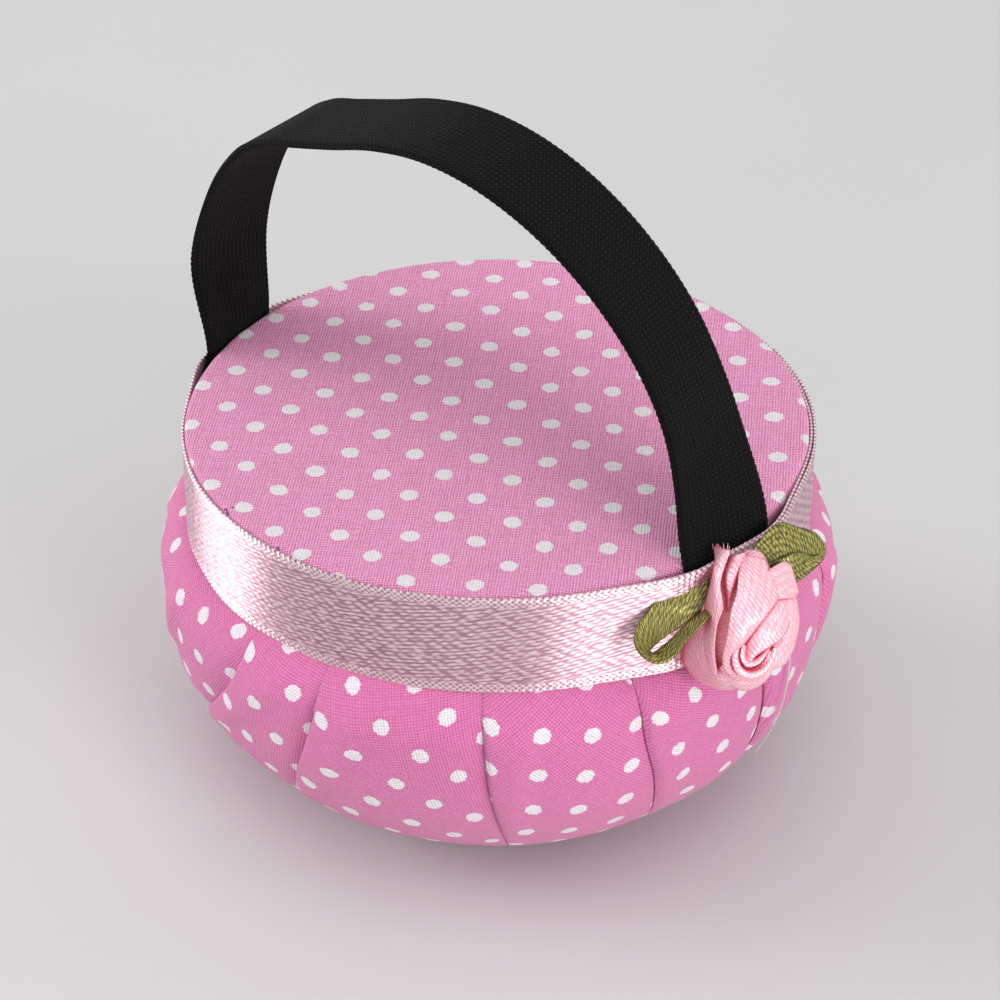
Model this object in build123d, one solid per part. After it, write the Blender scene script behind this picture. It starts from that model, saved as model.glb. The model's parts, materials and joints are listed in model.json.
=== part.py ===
from build123d import *
import math
import os

# Wrist pin cushion, millimetres, +Z up.
# Origin: on the surface it lies on, under the middle of the round wrist face.
# The stuffed dome points down, the flat wrist face points up, and the elastic
# wrist strap stands over that face as an arch. +X runs along the strap towards
# the end that carries the ribbon rose.

# Driving dimensions
FACE_HEIGHT = 46.0          # wrist face above the surface
BASE_RADIUS = 36.8          # covered base, outside its cotton
CARD_THICKNESS = 2.0
COTTON = 0.35               # cotton cloth
PLEATED_COTTON = 0.6        # cotton with its pleats lying on it
TAPE_WIDTH = 12.7           # satin ribbon and elastic are both half-inch goods
SATIN = 0.35
ELASTIC = 0.9

# Covered base
BASE_MARGIN_RADIUS = 26.0   # inner edge of the cloth turned under the card
THREAD_RADIUS = 0.2
BASE_THREAD_RADIUS = 0.18
THREAD_CLEARANCE = 0.2

# Stuffed dome
DOME_RADIUS = 40.3
DOME_WIDEST_HEIGHT = 28.4
REST_RADIUS = 16.0
NECK_FOOT_HEIGHT = 33.6     # where the dome meets the lower edge of the ribbon
DOME_MARGIN_RADIUS = 28.0   # inner edge of the pleated cloth turned under the base
FILL_GAP = 0.1
GLUE_THICKNESS = 0.3
GLUE_INNER_RADIUS = 29.5
GLUE_OUTER_RADIUS = 35.0

# Tacking stitches round the joint
STITCH_COUNT = 24
STITCH_LENGTH_DEG = 4.0
STITCH_RADIUS = 0.12
STITCH_RING_RADIUS = 36.95

# Ribbon band
BAND_INNER_RADIUS = 37.1
BAND_TOP_HEIGHT = 46.4
BAND_OVERLAP_START = -16.0  # degrees round from +X
BAND_OVERLAP_END = 14.0

# Wrist strap
STRAP_OFFSET = -4.95        # the strap's plane lies a little off the middle
STRAP_END_ANGLE = 7.7       # each end is turned to lie against the rim
STRAP_TUCK = 11.0           # length of each end under the ribbon
STRAP_LEAN = 4.0            # degrees, towards -Y
FOLD_HEIGHT = 8.0           # the strap folds over about a line this far above the face
MOVING_CLEARANCE = 0.3
LEG_HEIGHT = 22.0           # leg ends above the face, where the crown begins
TAB_CLEARANCE = 0.08
# Middle line of the arch, across the face and up from it
STRAP_ROUTE = [
    (-37.0, 0.0), (-37.0, 12.0), (-33.4, 23.0), (-23.5, 33.8), (-7.0, 39.2),
    (8.0, 39.0), (22.2, 31.0), (31.7, 17.5), (34.8, 8.0), (36.6, 0.0),
]

# Ribbon rose, with its open bloom facing out and down
ROSE_STEM = (39.6, -7.6, 47.6)
ROSE_BLOOM = (46.2, -11.2, 37.6)
ROSE_STEM_RADIUS = 2.6
ROSE_RADIUS = 7.4
ROSE_LIP_RADIUS = 5.0
ROSE_BELLY = 0.6            # where along the rose it is widest
ROSE_BACK_GAP = 0.8         # glue and the leaves' ends lie between rose and ribbon
ROSE_THREAD_RADIUS = 0.25
GLUE_PAD_RADIUS = 3.5
GLUE_PAD_HEIGHT = 41.5
GLUE_PAD_ANGLE = -9.5

# Leaf loops of narrow green ribbon, from the rose outwards
LEAF_WIDTH = 5.6
LEAF_SATIN = 0.4
LEAF_LOOP_DEPTH = 3.6
LEAF_BELLY = 0.55           # where along its length a loop is deepest
LEAF_LEFT = ((39.8, -12.4, 44.6), (36.2, -21.0, 39.8))
LEAF_RIGHT = ((41.4, -0.6, 46.4), (43.2, 8.2, 42.6))

FOLD_LINE = Axis((0, STRAP_OFFSET, FACE_HEIGHT + FOLD_HEIGHT), (1, 0, 0))
CARD_TOP = FACE_HEIGHT - COTTON
CARD_FOOT = CARD_TOP - CARD_THICKNESS
COVER_FOOT = CARD_FOOT - COTTON
DOME_TOP = COVER_FOOT - GLUE_THICKNESS
BAND_FOOT_HEIGHT = BAND_TOP_HEIGHT - TAPE_WIDTH


def disc(radius, foot, top):
    """Upright disc between two heights."""
    return Pos(0, 0, foot) * extrude(Circle(radius), top - foot)


def ring(inner, outer, foot, top):
    """Flat upright ring between two heights."""
    return Pos(0, 0, foot) * extrude(Circle(outer) - Circle(inner), top - foot)


def base_disc():
    return disc(BASE_RADIUS - COTTON, CARD_FOOT, CARD_TOP)


def base_cover():
    """Cloth over the card, round its edge and turned under it."""
    wrap = disc(BASE_RADIUS, COVER_FOOT, FACE_HEIGHT)
    mouth = disc(BASE_MARGIN_RADIUS, COVER_FOOT, CARD_FOOT)
    return wrap - base_disc() - mouth


def base_gather_thread():
    """Running thread that draws the turned cloth together under the card."""
    loop_radius = BASE_MARGIN_RADIUS - BASE_THREAD_RADIUS - THREAD_CLEARANCE
    return Pos(0, 0, CARD_FOOT - BASE_THREAD_RADIUS) * Torus(loop_radius, BASE_THREAD_RADIUS)


def dome_body(inset):
    """The dome, shrunk by an inset, up to the underside of its turned-in margin."""
    widest = DOME_RADIUS - inset
    neck = BASE_RADIUS - inset
    top = DOME_TOP - inset
    bowl = EllipticalCenterArc((REST_RADIUS, DOME_WIDEST_HEIGHT), widest - REST_RADIUS,
                               DOME_WIDEST_HEIGHT - inset, start_angle=270, arc_size=90)
    shoulder = EllipticalCenterArc((neck, DOME_WIDEST_HEIGHT), widest - neck,
                                   NECK_FOOT_HEIGHT - DOME_WIDEST_HEIGHT, start_angle=0, arc_size=90)
    outline = [
        Line((0, inset), (REST_RADIUS, inset)), bowl, shoulder,
        Line((neck, NECK_FOOT_HEIGHT), (neck, top)), Line((neck, top), (0, top)),
        Line((0, top), (0, inset)),
    ]
    profile = make_face(Plane.XZ * Curve(children=outline))
    return revolve(profile, Axis.Z)


def dome_cover():
    """Pleated cotton skin, with its margin turned in under the base."""
    mouth = disc(DOME_MARGIN_RADIUS, DOME_TOP - PLEATED_COTTON, DOME_TOP)
    return dome_body(0) - dome_body(PLEATED_COTTON) - mouth


def dome_gather_thread():
    """Thread that holds the pleats at the dome's mouth."""
    middle = DOME_TOP - PLEATED_COTTON / 2
    return Pos(0, 0, middle) * Torus(DOME_MARGIN_RADIUS - THREAD_RADIUS - THREAD_CLEARANCE, THREAD_RADIUS)


def stuffing():
    return dome_body(PLEATED_COTTON + FILL_GAP)


def join_glue():
    """Glue between the covered base and the dome's turned-in margin."""
    return ring(GLUE_INNER_RADIUS, GLUE_OUTER_RADIUS, DOME_TOP, COVER_FOOT)


def tacking_stitches():
    """Short stitches round the joint, under the ribbon and between the strap's ends."""
    section = Plane.XZ * Pos(STITCH_RING_RADIUS, DOME_TOP) * Circle(STITCH_RADIUS)
    stitch = revolve(section, Axis.Z, STITCH_LENGTH_DEG)
    half_tab = math.degrees(math.asin(TAPE_WIDTH / 2 / BASE_RADIUS))
    stitches = []
    for turn in range(STITCH_COUNT):
        angle = 360 / STITCH_COUNT * turn + STITCH_LENGTH_DEG
        middle = angle + STITCH_LENGTH_DEG / 2
        gaps = [abs((middle - end + 180) % 360 - 180) for end in end_turns().values()]
        if min(gaps) > half_tab + STITCH_LENGTH_DEG:
            stitches.append(Rot(0, 0, angle) * stitch)
    return Compound(stitches)


def end_turns():
    """Turn about Z of each strap end: left, then right."""
    return {"left": 180 + STRAP_END_ANGLE, "right": -STRAP_END_ANGLE}


def band_outline(extra):
    """Plan of the taut ribbon: the rim, drawn out over both strap ends."""
    tab = Rectangle(ELASTIC, TAPE_WIDTH)
    reach = BASE_RADIUS + 2 * TAB_CLEARANCE + ELASTIC / 2
    edges = Circle(BAND_INNER_RADIUS).edges()
    for turn in end_turns().values():
        edges += (Rot(0, 0, turn) * Pos(reach, 0) * tab).edges()
    return offset(make_hull(edges), extra)


def sector(start, end, radius):
    """Wedge of the plan between two directions."""
    corners = [(0, 0)]
    for angle in (start, end):
        corners.append((radius * math.cos(math.radians(angle)), radius * math.sin(math.radians(angle))))
    return make_face(Polyline(*corners, close=True))


def ribbon_band():
    """Satin ribbon round the joint, its end lapped over its start behind the rose."""
    loop = band_outline(SATIN) - band_outline(0)
    lap = band_outline(2 * SATIN) - band_outline(SATIN)
    lap &= sector(BAND_OVERLAP_START, BAND_OVERLAP_END, 2 * BAND_INNER_RADIUS)
    return Pos(0, 0, BAND_FOOT_HEIGHT) * extrude(loop + lap, TAPE_WIDTH)


def strap_end(side):
    """End of the elastic, tucked between the base and the ribbon."""
    top = FACE_HEIGHT + FOLD_HEIGHT - TAPE_WIDTH / 2 - MOVING_CLEARANCE
    length = top - (FACE_HEIGHT - STRAP_TUCK)
    reach = BASE_RADIUS + TAB_CLEARANCE + ELASTIC / 2
    tab = Pos(reach, 0, top - length / 2) * Box(ELASTIC, TAPE_WIDTH, length)
    return Rot(0, 0, end_turns()[side]) * tab


def strap_arch():
    """The whole arch, leaning, before it is divided."""
    route = Spline(*[(across, FACE_HEIGHT + up) for across, up in STRAP_ROUTE])
    band = trace(route, line_width=ELASTIC)
    arch = extrude(Plane.XZ * band, TAPE_WIDTH / 2, both=True)
    return Pos(0, STRAP_OFFSET, 0) * arch


def strap_zone(foot, top, across):
    """Block that holds the arch between two heights above the face."""
    middle = FACE_HEIGHT + (foot + top) / 2
    return Pos(across, STRAP_OFFSET, middle) * Box(2 * BASE_RADIUS, 2 * TAPE_WIDTH, top - foot)


def strap_leg(side):
    """One leg of the arch, rounded at its foot about the fold line."""
    across = BASE_RADIUS if side == "right" else -BASE_RADIUS
    fold = Pos(across, STRAP_OFFSET, FACE_HEIGHT + FOLD_HEIGHT) * Rot(0, 90, 0)
    foot = fold * Cylinder(TAPE_WIDTH / 2, 2 * BASE_RADIUS)
    leg = strap_arch() & (strap_zone(FOLD_HEIGHT, LEG_HEIGHT, across) + foot)
    return leg.rotate(FOLD_LINE, STRAP_LEAN)


def strap_crown():
    """Upper part of the arch, which rises as the elastic stretches."""
    foot = LEG_HEIGHT + MOVING_CLEARANCE
    crown = strap_arch() & strap_zone(foot, 2 * LEG_HEIGHT, 0)
    return crown.rotate(FOLD_LINE, STRAP_LEAN)


def rose_plane():
    """Frame at the rose's stem, Z towards its bloom."""
    stem = Vector(*ROSE_STEM)
    return Plane(origin=stem, z_dir=Vector(*ROSE_BLOOM) - stem)


def behind_rose(extra):
    """Ribbon and dome, with a margin, that the rose is pressed against."""
    wall = Pos(0, 0, BAND_FOOT_HEIGHT) * extrude(band_outline(2 * SATIN + extra), 2 * TAPE_WIDTH)
    return wall + offset(dome_body(0), extra)


def rose():
    """Rolled and folded ribbon, as the plain shape of its outside."""
    length = (Vector(*ROSE_BLOOM) - Vector(*ROSE_STEM)).length
    outline = [
        Line((0, 0), (ROSE_STEM_RADIUS, 0)),
        Spline((ROSE_STEM_RADIUS, 0), (ROSE_RADIUS, ROSE_BELLY * length), (ROSE_LIP_RADIUS, length)),
        Line((ROSE_LIP_RADIUS, length), (0, length)),
        Line((0, length), (0, 0)),
    ]
    bud = revolve(make_face(Plane.XZ * Curve(children=outline)), Axis.Z)
    return rose_plane() * bud - behind_rose(ROSE_BACK_GAP)


def rose_thread():
    """Thread bound round the rose's stem."""
    bound = Torus(ROSE_STEM_RADIUS + 2 * ROSE_THREAD_RADIUS, ROSE_THREAD_RADIUS)
    return rose_plane() * bound - behind_rose(ROSE_BACK_GAP)


def rose_glue():
    """Pad of glue between the ribbon and the back of the rose."""
    shell = band_outline(2 * SATIN + ROSE_BACK_GAP) - band_outline(2 * SATIN)
    layer = Pos(0, 0, BAND_FOOT_HEIGHT) * extrude(shell, TAPE_WIDTH)
    place = Rot(0, 0, GLUE_PAD_ANGLE) * Pos(BAND_INNER_RADIUS, 0, GLUE_PAD_HEIGHT) * Rot(0, 90, 0)
    return layer & place * Cylinder(GLUE_PAD_RADIUS, TAPE_WIDTH)


def leaf(ends):
    """Narrow ribbon folded into a loop, from the rose to the loop's tip."""
    root, tip = Vector(*ends[0]), Vector(*ends[1])
    along = tip - root
    outward = Vector(root.X, root.Y, 0).normalized()
    half = LEAF_LOOP_DEPTH / 2
    belly = LEAF_BELLY * along.length
    route = Spline((0, LEAF_SATIN), (belly, half), (along.length, 0), (belly, -half), (0, -LEAF_SATIN))
    frame = Plane(origin=root, x_dir=along, z_dir=outward.cross(along))
    loop = frame * extrude(trace(route, line_width=LEAF_SATIN), LEAF_WIDTH / 2, both=True)
    return loop - rose()


PARTS = {
    "base_disc": base_disc,
    "base_cover": base_cover,
    "base_gather_thread": base_gather_thread,
    "join_glue": join_glue,
    "dome_cover": dome_cover,
    "dome_gather_thread": dome_gather_thread,
    "stuffing": stuffing,
    "tacking_stitches": tacking_stitches,
    "ribbon_band": ribbon_band,
    "strap_end_left": lambda: strap_end("left"),
    "strap_end_right": lambda: strap_end("right"),
    "strap_leg_left": lambda: strap_leg("left"),
    "strap_leg_right": lambda: strap_leg("right"),
    "strap_crown": strap_crown,
    "rose": rose,
    "rose_thread": rose_thread,
    "rose_glue": rose_glue,
    "leaf_left": lambda: leaf(LEAF_LEFT),
    "leaf_right": lambda: leaf(LEAF_RIGHT),
}

os.makedirs("parts", exist_ok=True)
for name, make in PARTS.items():
    export_step(make(), f"parts/{name}.step")
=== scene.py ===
import json
import math
import random

import bpy
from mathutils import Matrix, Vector, noise


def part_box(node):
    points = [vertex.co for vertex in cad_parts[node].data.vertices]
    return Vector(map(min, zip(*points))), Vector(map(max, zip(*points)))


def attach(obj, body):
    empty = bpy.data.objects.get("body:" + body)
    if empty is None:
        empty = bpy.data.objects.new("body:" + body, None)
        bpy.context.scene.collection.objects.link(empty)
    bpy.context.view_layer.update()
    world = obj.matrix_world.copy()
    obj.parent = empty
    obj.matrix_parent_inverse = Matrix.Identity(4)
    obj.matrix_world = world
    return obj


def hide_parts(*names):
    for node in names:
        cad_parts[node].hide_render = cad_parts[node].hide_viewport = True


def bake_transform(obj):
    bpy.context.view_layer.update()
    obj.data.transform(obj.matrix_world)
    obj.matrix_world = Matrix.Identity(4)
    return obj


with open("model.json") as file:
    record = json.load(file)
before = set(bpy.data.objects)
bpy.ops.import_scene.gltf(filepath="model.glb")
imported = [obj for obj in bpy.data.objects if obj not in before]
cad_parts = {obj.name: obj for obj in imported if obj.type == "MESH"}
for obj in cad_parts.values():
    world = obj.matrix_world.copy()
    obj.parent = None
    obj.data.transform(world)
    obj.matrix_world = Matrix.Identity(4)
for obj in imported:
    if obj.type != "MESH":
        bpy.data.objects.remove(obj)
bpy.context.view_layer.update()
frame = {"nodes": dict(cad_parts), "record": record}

# Wrist pin cushion: dotted cotton dome and covered base, satin ribbon band,
# elastic wrist strap, ribbon rose with two leaf loops.
# Lengths below are millimetres, turned to metres where a mesh is made.

MM = 0.001
TAU = 2 * math.pi
RANDOM_SEED = 7
random.seed(RANDOM_SEED)

# ---- the frame


def box_mm(node):
    """Lowest and highest corner of a CAD node, in millimetres."""
    low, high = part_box(node)
    return low / MM, high / MM


COVER_LOW, COVER_HIGH = box_mm("base_cover")
DOME_HIGH = box_mm("dome_cover")[1]
BAND_LOW, BAND_HIGH = box_mm("ribbon_band")

FACE_HEIGHT = COVER_HIGH.z
BASE_RADIUS = COVER_HIGH.x
DOME_RADIUS = DOME_HIGH.x
DOME_TOP = DOME_HIGH.z
BAND_FOOT = BAND_LOW.z
BAND_TOP = BAND_HIGH.z
STRAP_OFFSET = frame["record"]["behaviour"]["joints"][0]["pos_m"][1] / MM

# The camera's side of the object, as a direction round +Z, in degrees
CAMERA_AZIMUTH = 38.8
CAMERA_ELEVATION = 34.6
CAMERA_PLACE = (0.18918, -0.23473, 0.24167)
CAMERA_LENS = 109.4
FRONT = CAMERA_AZIMUTH - 90.0

# ---- small tools


def radians(*degrees):
    return [math.radians(value) for value in degrees]


def smooth(start, end, value):
    """0 before start, 1 after end, and a smooth ramp between."""
    part = min(max((value - start) / (end - start), 0.0), 1.0)
    return part * part * (3 - 2 * part)


def mixed(a, b, part):
    """a at part 0, b at part 1."""
    return a + (b - a) * part


def bump(value, centre, width):
    """Rounded peak of height 1 at the centre."""
    return math.exp(-(((value - centre) / width) ** 2))


def polar(radius, turn):
    """Across and deep of a point by its radius and its direction in radians."""
    return radius * math.cos(turn), radius * math.sin(turn)


def wobble(x, y, size, seed):
    """Smooth noise between about -1 and 1, of the given feature size."""
    return noise.noise(Vector((x / size, y / size, seed * 7.31)))


def placed(name, data):
    """New object in the scene."""
    made = bpy.data.objects.new(name, data)
    bpy.context.scene.collection.objects.link(made)
    return made


class Sheet:
    """A mesh built row by row, with cloth coordinates in millimetres."""

    def __init__(self, name):
        self.name = name
        self.points = []
        self.cloth = []
        self.faces = []

    def point(self, place, cloth):
        self.points.append(Vector(place) * MM)
        self.cloth.append(cloth)
        return len(self.points) - 1

    def grid(self, rows, flip=False):
        """Joins rows of equal length; flip turns the faces over."""
        for row, above in zip(rows, rows[1:]):
            for i in range(len(row) - 1):
                face = (row[i], row[i + 1], above[i + 1], above[i])
                self.faces.append(tuple(reversed(face)) if flip else face)

    def build(self, material, bodies="root", replaces=()):
        mesh = bpy.data.meshes.new(self.name)
        mesh.from_pydata(self.points, [], self.faces)
        layer = mesh.uv_layers.new(name="cloth")
        for loop in mesh.loops:
            layer.data[loop.index].uv = self.cloth[loop.vertex_index]
        mesh.polygons.foreach_set("use_smooth", [True] * len(mesh.polygons))
        mesh.update()
        made = placed(self.name, mesh)
        mesh.materials.append(material)
        if bodies:
            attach(made, bodies)
        if replaces:
            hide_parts(*replaces)
        return made


def tube(name, points, radius, material, replaces=()):
    """Thin round thread or strand through the given points, in millimetres."""
    sheet = Sheet(name)
    rows, side = [], Vector((0.31, 0.17, 0.93))
    for i, point in enumerate(points):
        run = (points[min(i + 1, len(points) - 1)] - points[max(i - 1, 0)]).normalized()
        side = (side - run * side.dot(run)).normalized()
        other = run.cross(side)
        row = []
        for j in range(8):
            turn = TAU * j / 8
            place = point + (side * math.cos(turn) + other * math.sin(turn)) * radius
            row.append(sheet.point(place, (i * radius, j * radius)))
        row.append(row[0])
        rows.append(row)
    sheet.grid(rows)
    sheet.faces.append(tuple(reversed(rows[0][:-1])))
    sheet.faces.append(tuple(rows[-1][:-1]))
    sheet.build(material, replaces=replaces)


class Graph:
    """Short-hand for the nodes of one material."""

    def __init__(self, name, **shader_values):
        self.material = bpy.data.materials.new(name)
        self.material.use_nodes = True
        self.tree = self.material.node_tree
        self.shader = self.tree.nodes["Principled BSDF"]
        for socket, value in shader_values.items():
            self.shader.inputs[socket.replace("_", " ")].default_value = value

    def node(self, kind, *inputs, **options):
        made = self.tree.nodes.new("ShaderNode" + kind)
        for key, value in options.items():
            setattr(made, key, value)
        for index, value in enumerate(inputs):
            self.feed(made.inputs[index], value)
        return made

    def feed(self, socket, value):
        if value is None:
            return
        if isinstance(value, bpy.types.NodeSocket):
            self.tree.links.new(value, socket)
        else:
            socket.default_value = value

    def math(self, operation, *inputs):
        return self.node("Math", *inputs, operation=operation).outputs[0]

    def times(self, a, b):
        return self.math("MULTIPLY", a, b)

    def plus(self, a, b):
        return self.math("ADD", a, b)

    def minus(self, a, b):
        return self.math("SUBTRACT", a, b)

    def vector(self, operation, *inputs):
        made = self.node("VectorMath", *inputs, operation=operation)
        return made.outputs["Value" if operation in ("DOT_PRODUCT", "LENGTH") else "Vector"]

    def scaled(self, vector, amount):
        made = self.node("VectorMath", vector, operation="SCALE")
        self.feed(made.inputs["Scale"], amount)
        return made.outputs["Vector"]

    def joined(self, x, y, z):
        """Vector from its three parts."""
        return self.node("CombineXYZ", x, y, z).outputs[0]

    def ramp(self, value, start, end, low=0.0, high=1.0):
        """Smooth ramp from low to high as value goes from start to end."""
        made = self.node("MapRange", value, start, end, low, high, interpolation_type="SMOOTHSTEP")
        return made.outputs[0]

    def blend(self, part, a, b):
        """Colour between a and b."""
        made = self.tree.nodes.new("ShaderNodeMix")
        made.data_type = "RGBA"
        for socket, value in zip((made.inputs[0], made.inputs[6], made.inputs[7]), (part, a, b)):
            self.feed(socket, value)
        return made.outputs[2]

    def noise(self, where, scale, detail=2.0):
        made = self.node("TexNoise")
        self.feed(made.inputs["Vector"], where)
        made.inputs["Scale"].default_value = scale
        made.inputs["Detail"].default_value = detail
        return made.outputs["Fac"]

    def cloth(self):
        """Cloth coordinates, in millimetres."""
        return self.node("UVMap", uv_map="cloth").outputs[0]

    def position(self):
        return self.node("TexCoord").outputs["Object"]

    def shaded(self, colour, crease, reach, low, high):
        """Painted shade: turns to the crease colour where ambient occlusion finds the surface closing
        in within reach (metres).
        """
        shade = self.node("AmbientOcclusion", samples=6)
        shade.inputs["Distance"].default_value = reach
        return self.blend(self.ramp(shade.outputs["AO"], low, high), crease, colour)

    def finish(self, colour, height=None, depth=0.0001, roughness=None):
        self.feed(self.shader.inputs["Base Color"], colour)
        if roughness is not None:
            self.feed(self.shader.inputs["Roughness"], roughness)
        if height is not None:
            bump = self.node("Bump")
            bump.inputs["Strength"].default_value = 1.0
            bump.inputs["Distance"].default_value = depth
            self.feed(bump.inputs["Height"], height)
            self.feed(self.shader.inputs["Normal"], bump.outputs[0])
        return self.material


def unit(degrees):
    """Unit vector in the cloth's plane."""
    return (*polar(1.0, math.radians(degrees)), 0.0)


def turned(vector, degrees):
    """A flat vector turned anticlockwise."""
    c, s, _ = unit(degrees)
    return (vector[0] * c - vector[1] * s, vector[0] * s + vector[1] * c)


def plain_weave(g, where, pitch, turn):
    """Height of a plain weave, 0 in the gaps to 1 on the crowns, and the two thread counts."""
    across = g.math("DIVIDE", g.vector("DOT_PRODUCT", where, unit(turn)), pitch)
    up = g.math("DIVIDE", g.vector("DOT_PRODUCT", where, unit(turn + 90)), pitch)
    wave_a = g.math("SINE", g.times(across, math.pi))
    wave_b = g.math("SINE", g.times(up, math.pi))
    both = g.times(wave_a, wave_b)
    warp = g.plus(g.math("ABSOLUTE", wave_a), both)
    weft = g.minus(g.math("ABSOLUTE", wave_b), both)
    height = g.times(g.math("MAXIMUM", warp, weft), 0.5)
    return height, across, up


# ---- materials

BASE_PINK = (0.87, 0.41, 0.65, 1)
# Dome's pink: the base's cotton made darker and deeper, painted shade over the dome
DOME_PINK_SHADED = (0.70, 0.205, 0.43, 1)
PINK_GAP_SHADED = (0.56, 0.12, 0.30, 1)
# Painted shade: the dome's pink deep in its folds and under the ribbon's edge
PINK_CREASE_SHADE = (0.36, 0.03, 0.13, 1)
DOT_WHITE = (0.80, 0.80, 0.82, 1)
DOT_GAP_SHADED = (0.70, 0.60, 0.66, 1)
SELVEDGE_BEAD = (0.98, 0.78, 0.84, 1)
SELVEDGE_GAP = (0.56, 0.28, 0.36, 1)
COTTON_SHADE_REACH = 0.0018    # metres, as the shader takes it
SATIN_SHADE_REACH = 0.0022
MID_GREY = (0.5, 0.5, 0.5)  # the middle value of a colour noise
THREAD_PITCH = 0.34
TAPE_WIDTH = 12.7           # satin ribbon and elastic
SELVEDGE = 1.15             # width of each beaded edge
BEAD_PITCH = 0.75
WEAVE_TURN = 32.7           # direction of the cotton's threads, in degrees
COTTON_ROW = (5.679, -1.213)    # from one printed dot to the next, both ways
COTTON_COLUMN = (0.731, 5.320)
BASE_DOT = 1.05             # radius of a dot on the flat base
DOME_DOT = 0.97
DOME_GRAIN = -23.0          # how far the dome's cotton is turned from the base's, in degrees


def dotted_cotton(name, pink_thread, dot_radius, origin, grain=0.0, shade_creases=False):
    """Plain-weave cotton printed with white dots on a lattice, all turned by grain degrees."""
    row, column = turned(COTTON_ROW, grain), turned(COTTON_COLUMN, grain)
    g = Graph(name, Roughness=0.86, Sheen_Weight=0.25, Sheen_Roughness=0.45, Specular_IOR_Level=0.25)
    cloth = g.cloth()
    # Slow drift, as cloth is never printed or drawn up quite straight
    drift = g.node("TexNoise")
    g.feed(drift.inputs["Vector"], cloth)
    drift.inputs["Scale"].default_value = 0.045
    drift.inputs["Detail"].default_value = 1.0
    moved = g.vector("SUBTRACT", drift.outputs["Color"], MID_GREY)
    where = g.vector("ADD", cloth, g.scaled(moved, 2.6))
    # Lattice coordinates by the reciprocal vectors
    area = row[0] * column[1] - row[1] * column[0]
    to_row = (column[1] / area, -column[0] / area, 0.0)
    to_column = (-row[1] / area, row[0] / area, 0.0)
    local = g.vector("SUBTRACT", where, (origin[0], origin[1], 0.0))
    s = g.vector("DOT_PRODUCT", local, to_row)
    t = g.vector("DOT_PRODUCT", local, to_column)
    near_s = g.math("ROUND", s)
    near_t = g.math("ROUND", t)
    off = g.vector(
        "ADD",
        g.scaled((row[0], row[1], 0.0), g.minus(s, near_s)),
        g.scaled((column[0], column[1], 0.0), g.minus(t, near_t)),
    )
    chance = g.node("TexWhiteNoise", g.joined(near_s, near_t, 0.0)).outputs["Color"]
    off = g.vector("ADD", off, g.scaled(g.vector("SUBTRACT", chance, MID_GREY), 0.35))
    far = g.vector("LENGTH", off)
    ragged = g.times(g.minus(g.noise(cloth, 2.6, 3.0), 0.5), 0.62)
    dot = g.ramp(g.plus(far, ragged), dot_radius + 0.07, dot_radius - 0.07)
    # Threads
    uneven = g.node("TexNoise")
    g.feed(uneven.inputs["Vector"], cloth)
    uneven.inputs["Scale"].default_value = 1.1
    bend = g.vector("SUBTRACT", uneven.outputs["Color"], MID_GREY)
    bent = g.vector("ADD", cloth, g.scaled(bend, 0.18))
    weave, across, up = plain_weave(g, bent, THREAD_PITCH, WEAVE_TURN + grain)
    # Slubs run a long way along one thread and only a little across it
    slub_a, slub_b = (
        g.noise(g.joined(g.times(across, a), g.times(up, b), seed), 1.0, 1.0)
        for a, b, seed in ((0.9, 0.06, 0.0), (0.06, 0.9, 3.0))
    )
    slub = g.plus(slub_a, slub_b)
    crossing = g.noise(g.joined(across, up, 0.0), 0.8, 1.0)
    uneven_tone = g.plus(g.times(slub, 0.45), g.times(crossing, 0.9))
    # Crowns lighter and gaps darker by the weave's height: painted shade between the threads, together
    # with the slubs' and crossings' own uneven tone
    shaded_weave_and_slub_tone = g.plus(g.ramp(weave, 0.2, 0.95), g.minus(uneven_tone, 0.9))
    pink = g.blend(shaded_weave_and_slub_tone, PINK_GAP_SHADED, pink_thread)
    white = g.blend(shaded_weave_and_slub_tone, DOT_GAP_SHADED, DOT_WHITE)
    height = g.plus(weave, g.times(slub, 0.5))
    colour = g.blend(dot, pink, white)
    # Painted shade: darker pink where ambient occlusion finds the surface closing in, in the folds and
    # under the ribbon
    if shade_creases:
        colour = g.shaded(colour, PINK_CREASE_SHADE, COTTON_SHADE_REACH, 0.22, 0.74)
    return g.finish(colour, height, depth=0.00012)


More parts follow.
